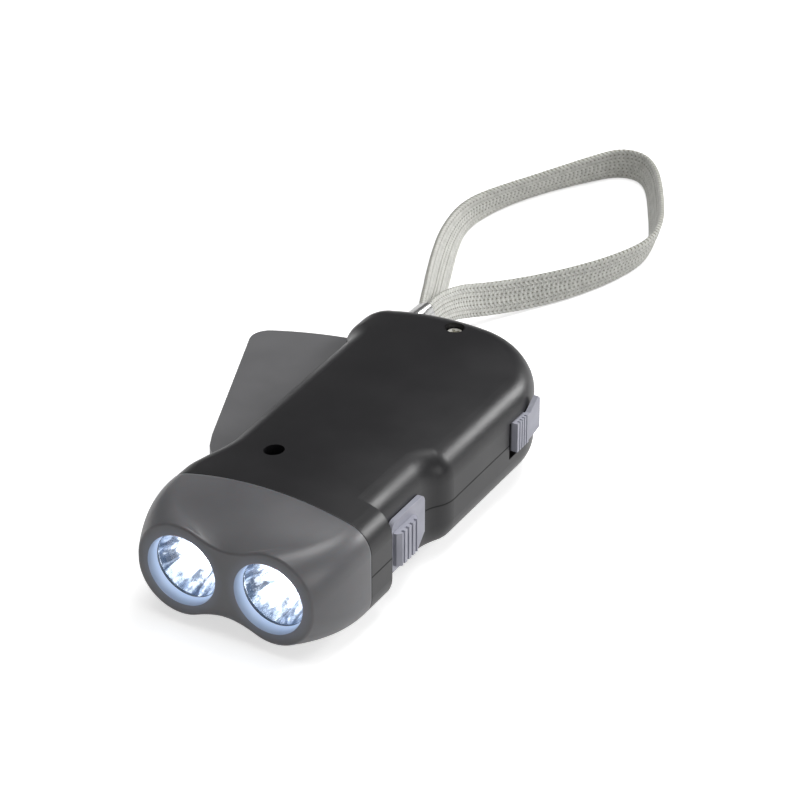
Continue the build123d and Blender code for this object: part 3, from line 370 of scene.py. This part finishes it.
# ---- Strap clip ----
# Bright sheet-metal sleeve crimped on both ends of the braid, rolled like them; its flat tongue
# runs into the tail of the case and ends in an eye on the anchor pin.
ANCHOR_MM = (-50.3, -20.7)
PARTING_Z = 0.0147
CLIP_LINE_DEG = 178.0
CLIP_ROLL_DEG = -25.0
CLIP_ROLL_FROM, CLIP_ROLL_RUN = 6.0, 2.0  # millimetres from the pin, and over how many it turns
CLIP_CORNER_POWER = 0.4
EYE_BORE_R, EYE_OUTER_R, EYE_HALF = 0.00125, 0.0021, 0.0033
# Distance from the pin, half height and half thickness, out along the outside and back inside.
CLIP_STATIONS_MM = (
    (1.75, 3.0, 1.15), (6.2, 3.0, 1.15), (6.9, 3.2, 1.4), (7.6, 3.85, 2.15), (8.2, 4.05, 2.35),
    (14.0, 4.1, 2.35), (20.8, 4.1, 2.35), (21.15, 4.02, 2.27), (21.2, 3.9, 2.15), (21.0, 3.62, 1.92),
    (14.0, 3.6, 1.9), (9.0, 3.5, 1.8), (8.4, 2.6, 0.8), (7.0, 2.4, 0.6), (2.0, 2.4, 0.6),
)


def clip_points(around=72):
    """Rounded oblong rings strung along the clip's line; they turn from upright to rolled where
    the tongue opens into the sleeve."""
    away, high, thick = (np.array(CLIP_STATIONS_MM) / 1000).T
    line = math.radians(CLIP_LINE_DEG)
    ahead = np.array((math.cos(line), math.sin(line), 0.0))
    beside = np.array((-math.sin(line), math.cos(line), 0.0))
    turned = np.clip((away * 1000 - CLIP_ROLL_FROM) / CLIP_ROLL_RUN, 0, 1)
    roll = np.radians(CLIP_ROLL_DEG * turned)[:, None, None]
    up = np.array((0.0, 0.0, 1.0))
    rolled_up = up * np.cos(roll) - beside * np.sin(roll)
    rolled_side = beside * np.cos(roll) + up * np.sin(roll)
    turn = np.linspace(0.0, 2 * np.pi, around, endpoint=False)
    h = np.sign(np.cos(turn)) * np.abs(np.cos(turn)) ** CLIP_CORNER_POWER * high[:, None]
    t = np.sign(np.sin(turn)) * np.abs(np.sin(turn)) ** CLIP_CORNER_POWER * thick[:, None]
    start = np.array((ANCHOR_MM[0] / 1000, ANCHOR_MM[1] / 1000, PARTING_Z))
    centre = start + away[:, None, None] * ahead
    return centre + rolled_up * h[..., None] + rolled_side * t[..., None]


def eye_points(around=40):
    """A short tube round the anchor pin."""
    turn = np.linspace(0.0, 2 * np.pi, around, endpoint=False)[None]
    radius = np.array((EYE_OUTER_R, EYE_OUTER_R, EYE_BORE_R, EYE_BORE_R))[:, None]
    height = np.array((-EYE_HALF, EYE_HALF, EYE_HALF, -EYE_HALF))[:, None] + 0 * turn
    x = ANCHOR_MM[0] / 1000 + radius * np.cos(turn)
    return np.stack([x, ANCHOR_MM[1] / 1000 + radius * np.sin(turn), PARTING_Z + height], axis=-1)


def joined(name, *meshes):
    """Several meshes copied into one."""
    gathered = bmesh.new()
    for mesh in meshes:
        gathered.from_mesh(mesh)
        bpy.data.meshes.remove(mesh)
    whole = bpy.data.meshes.new(name)
    gathered.to_mesh(whole)
    gathered.free()
    return whole


def clip_paint(place):
    """Bright plating, faintly brushed along the sleeve."""
    brushed = place.add("ShaderNodeMapping", {"Vector": place, "Scale": (60.0, 1400.0, 1400.0)})
    streak = brushed.noise(1.0, 3.0)
    colour = streak.soft_step(*NOISE_SPREAD).blend((0.56, 0.56, 0.56), (0.70, 0.70, 0.69))
    return {"Base Color": colour, "Roughness": streak.soft_step(*NOISE_SPREAD, 0.20, 0.34)}


clip_mesh = joined("strap_clip_sleeve", grid_mesh("sleeve", clip_points(), closed_u=True, closed_v=True),
                   grid_mesh("eye", eye_points(), closed_u=True, closed_v=True, smooth=False))
show("strap_clip_sleeve", clip_mesh, "case", finish("bright_plate", clip_paint, Metallic=1.0), "steel",
     "strap_clip")


# ---- Case ----
# Two shells moulded in near-black ABS with a fine satin grain, slightly polished by handling.
def dress(material, *names):
    """Gives CAD nodes their finish."""
    for name in names:
        slots = nodes[name].data.materials
        slots.clear()
        slots.append(material)


SEAM_X = 0.0366  # where the case meets the head
JOINT_HALF = 0.00020  # half the width of the joints' grooves


def case_paint(place):
    """Near-black with a fine grain; the parting line and the joint to the head lie in a groove, and the
    groove's shade is painted in as almost black.
    """
    grain = place.noise(5200.0, 2.0)
    wear = place.noise(60.0, 4.0)
    from_parting = (place.part("Z") - PARTING_Z).maths("ABSOLUTE")
    face = from_parting.soft_step(0.4 * JOINT_HALF, 1.6 * JOINT_HALF)
    face = face * (SEAM_X - place.part("X")).soft_step(0.3 * JOINT_HALF, 1.8 * JOINT_HALF)
    black = wear.soft_step(*NOISE_SPREAD).blend((0.0118, 0.0115, 0.0130), (0.0150, 0.0146, 0.0164))
    rough = wear.soft_step(*NOISE_SPREAD, 0.35, 0.41) + (1.0 - face) * 0.4
    height = face * 3.0 + grain * 0.12
    # painted shade: the joint grooves get an almost black base colour
    return {"Base Color": face.blend((0.001, 0.001, 0.001), black), "Roughness": rough,
            "Normal": height.bump(0.5, 0.00003)}


dress(finish("case_black", case_paint), "upper_housing", "lower_housing")


# ---- Head ----
# Nose moulded in smoke-grey translucent plastic; light from the LEDs glows in its two mouths.
LENS_Y = 0.01125
LENS_Z = 0.0147
MOUTH_BACK_X, MOUTH_DEPTH = 0.0519, 0.0031
MOUTH_WALL_R = (0.00878, 0.0089)  # the glow of the mouth's wall ends between these
MOUTH_RIM_R = (0.0088, 0.0112)  # and the rim's, past it, between these
WALL_GLOW_BACK, WALL_GLOW_FRONT = (0.34, 0.46, 0.68), (0.10, 0.145, 0.235)
RIM_GLOW = (0.018, 0.024, 0.036)


def lens_polar(place):
    """Distance from the nearer lens axis, and the angle about it."""
    y = place.part("Y").maths("ABSOLUTE") - LENS_Y
    z = place.part("Z") - LENS_Z
    return (y * y + z * z) ** 0.5, z.maths("ARCTAN2", y)


def head_paint(place):
    """Smoke grey; the mouth walls glow blue, strongest beside the lens."""
    haze = place.noise(45.0, 3.0)
    grain = place.noise(4200.0, 2.0)
    colour = haze.soft_step(*NOISE_SPREAD).blend((0.124, 0.124, 0.132), (0.152, 0.152, 0.160))
    around, _ = lens_polar(place)
    forward = place.part("X") - MOUTH_BACK_X
    wall = forward.soft_step(0.0, MOUTH_DEPTH).blend(WALL_GLOW_BACK, WALL_GLOW_FRONT)
    rim = around.soft_step(*MOUTH_RIM_R).blend(RIM_GLOW, (0.0, 0.0, 0.0))
    lip = (place.part("X") - SEAM_X).soft_step(0.0, 0.00045)
    return {"Base Color": colour, "Emission Color": around.soft_step(*MOUTH_WALL_R).blend(wall, rim),
            "Normal": (lip * 2.0 + grain * 0.2).bump(0.3, 0.00012)}


dress(finish("smoked_head", head_paint, Roughness=0.36, Emission_Strength=1.0,
             Subsurface_Weight=0.15, Subsurface_Scale=0.003), "head_shroud")


# ---- Lenses, reflectors and LEDs ----
# Clear discs over metallised bowls with soft twisted flutes; a water-clear LED stands lit in
# each bowl, and its light lies on the bowl in bright streaks.
BOWL_BACK_X, BOWL_FRONT_X = 0.0400, 0.0504
BOWL_NECK_R, BOWL_MOUTH_R = 0.0031, 0.00855
BOWL_WALL = 0.00015
BOWL_WAVES = ((11, 5.0, 1.0), (7, -9.0, 0.6))  # flutes round the bowl, their twist, their share
BOWL_FLUTE_DEPTH = 0.00006
STREAK_SCALE = (1.9, 420.0, 60.0)  # about the axis, out from it, and from bowl to bowl
LIT_FALL, LIT_START = -44.0, 0.22  # the LED's light on the bowl: loss with radius, and at the axis


def plain(colour):
    return lambda place: {"Base Color": (*colour, 1.0)}


def bowl_points(side, rings=48, around=176):
    """A thin parabolic bowl about a lens axis: the radius squared grows evenly from neck to mouth,
    and flutes wave it a little. The profile runs up inside and back down outside."""
    share = np.linspace(0.0, 1.0, rings)
    share = np.concatenate((share, share[::-1]))
    wall = np.concatenate((np.zeros(rings), np.full(rings, BOWL_WALL)))
    turn = np.linspace(0.0, 2 * np.pi, around, endpoint=False)[None]
    radius = np.sqrt(BOWL_NECK_R**2 + (BOWL_MOUTH_R**2 - BOWL_NECK_R**2) * share) + wall
    flute = sum(part * np.cos(count * turn + twist * share[:, None]) for count, twist, part in BOWL_WAVES)
    flute = flute * (4 * share * (1 - share))[:, None] * BOWL_FLUTE_DEPTH
    radius = radius[:, None] + flute
    x = (BOWL_BACK_X + (BOWL_FRONT_X - BOWL_BACK_X) * share)[:, None] + 0 * turn
    return np.stack([x, side * LENS_Y + radius * np.cos(turn), LENS_Z + radius * np.sin(turn)], axis=-1)


def bowl_paint(place):
    """Chrome with the LED's light on it: white about the neck, blue-grey streaks towards the mouth."""
    around, turn = lens_polar(place)
    measures = (turn, around, place.part("Y"))
    streak_at = place.add("ShaderNodeCombineXYZ",
                          {i: measures[i] * scale for i, scale in enumerate(STREAK_SCALE)})
    streak = streak_at.noise(1.5, 4.0, 0.6)
    lit = (streak + around * LIT_FALL + LIT_START).soft_step(0.40, 0.52)
    glow = lit.blend((0.03, 0.05, 0.09), (0.95, 1.05, 1.2))
    return {"Base Color": streak.soft_step(0.35, 0.6).blend((0.22, 0.26, 0.33), (0.74, 0.79, 0.86)),
            "Emission Color": glow}


dress(finish("clear_lens", plain((1, 1, 1)), Roughness=0.0, Transmission_Weight=1.0, IOR=1.47),
      "lens_left", "lens_right")
mirror_bowl = finish("mirror_bowl", bowl_paint, Roughness=0.10, Metallic=1.0, Emission_Strength=0.9)
for side, name in ((-1, "left"), (1, "right")):
    bowl_mesh = grid_mesh(f"bowl_{name}", bowl_points(side), closed_u=True, closed_v=True)
    show(f"bowl_{name}", bowl_mesh, "case", mirror_bowl, "mirror_coat", f"reflector_{name}")
dress(finish("led_lit", plain((0.9, 0.95, 1.0)), Roughness=0.1, Emission_Color=(0.88, 0.95, 1.0, 1.0),
             Emission_Strength=5.0), "led_left", "led_right")


# ---- Lever ----
# Squeeze lever moulded in mid-grey satin plastic.
def lever_paint(place):
    grain = place.noise(4800.0, 2.0)
    wear = place.noise(70.0, 3.0)
    colour = wear.soft_step(*NOISE_SPREAD).blend((0.135, 0.135, 0.14), (0.155, 0.155, 0.16))
    return {"Base Color": colour, "Normal": grain.bump(0.1, 0.00003)}


dress(finish("lever_grey", lever_paint, Roughness=0.45), "lever")


# ---- Switch and latch ----
# Two small slides moulded in light lavender-grey plastic.
LATCH_PLATE_Y = 0.0259  # outer face of the plate under the knob


def slide_paint(place):
    grain = place.noise(4800.0, 2.0)
    wear = place.noise(160.0, 3.0)
    colour = wear.soft_step(*NOISE_SPREAD).blend((0.36, 0.365, 0.43), (0.43, 0.435, 0.50))
    return {"Base Color": colour, "Normal": grain.bump(0.1, 0.00003)}


def latch_paint(place):
    """The same grey outside; its plate and hook arm inside the case are painted black as the shade in the
    slot.
    """
    painted = slide_paint(place)
    # painted shade: parts deeper than the plate's outer face turn black
    out_of_slot_shade = place.part("Y").soft_step(LATCH_PLATE_Y, LATCH_PLATE_Y + 0.0006)
    painted["Base Color"] = out_of_slot_shade.blend((0.004, 0.004, 0.004), painted["Base Color"])
    return painted


dress(finish("slide_grey", slide_paint, Roughness=0.42), "switch_slider")
dress(finish("latch_grey", latch_paint, Roughness=0.42), "latch_slider")


# ---- Metal ----
# Plated steel: the screws, pins, axles, the spring, the cell and its contact.
def steel_paint(place):
    streak = place.noise(120.0, 2.0)
    colour = streak.soft_step(*NOISE_SPREAD).blend((0.60, 0.60, 0.59), (0.66, 0.66, 0.65))
    rough = streak.soft_step(*NOISE_SPREAD, 0.20, 0.26)
    return {"Base Color": colour, "Roughness": rough}


def zinc_paint(place):
    """Dull zinc on the screw heads, which catches the lamp in every direction."""
    dull = place.noise(400.0, 3.0)
    return {"Base Color": dull.soft_step(*NOISE_SPREAD).blend((0.70, 0.69, 0.62), (0.84, 0.83, 0.77)),
            "Roughness": dull.soft_step(*NOISE_SPREAD, 0.42, 0.55)}


dress(finish("zinc", zinc_paint, Metallic=0.7), "case_screws")
dress(finish("plated_steel", steel_paint, Metallic=1.0), "bridge_screws",
      "lever_pin", "lever_spring", "drive_axle", "step_axle", "rotor_axle", "anchor_pin", "cell_clip",
      "battery_cell")


# ---- Inside ----
# Acetal wheels, the generator, the board and what is soldered on it.
def toned(low, high, scale):
    """Paint that wanders between two colours."""
    return lambda place: {"Base Color": place.noise(scale, 3.0).soft_step(*NOISE_SPREAD).blend(low, high)}


dress(finish("acetal", toned((0.74, 0.72, 0.66), (0.82, 0.80, 0.74), 300.0), Roughness=0.4),
      "drive_gear", "step_gear", "rotor", "gear_bridge", "coil_bobbin")
dress(finish("ferrite", toned((0.05, 0.05, 0.052), (0.09, 0.09, 0.09), 800.0), Roughness=0.6), "rotor_magnet")
dress(finish("core_steel", toned((0.30, 0.30, 0.32), (0.42, 0.42, 0.44), 500.0), Roughness=0.4, Metallic=1.0),
      "stator_core")
dress(finish("enamelled_copper", toned((0.50, 0.20, 0.08), (0.72, 0.34, 0.15), 1500.0), Roughness=0.3,
             Metallic=1.0), "coil_winding")
dress(finish("board_green", toned((0.02, 0.13, 0.05), (0.03, 0.19, 0.08), 400.0), Roughness=0.45),
      "circuit_board", "led_board")
dress(finish("black_moulding", toned((0.02, 0.02, 0.02), (0.035, 0.035, 0.035), 400.0), Roughness=0.5),
      "rectifier_diodes", "smoothing_capacitor", "switch_body")
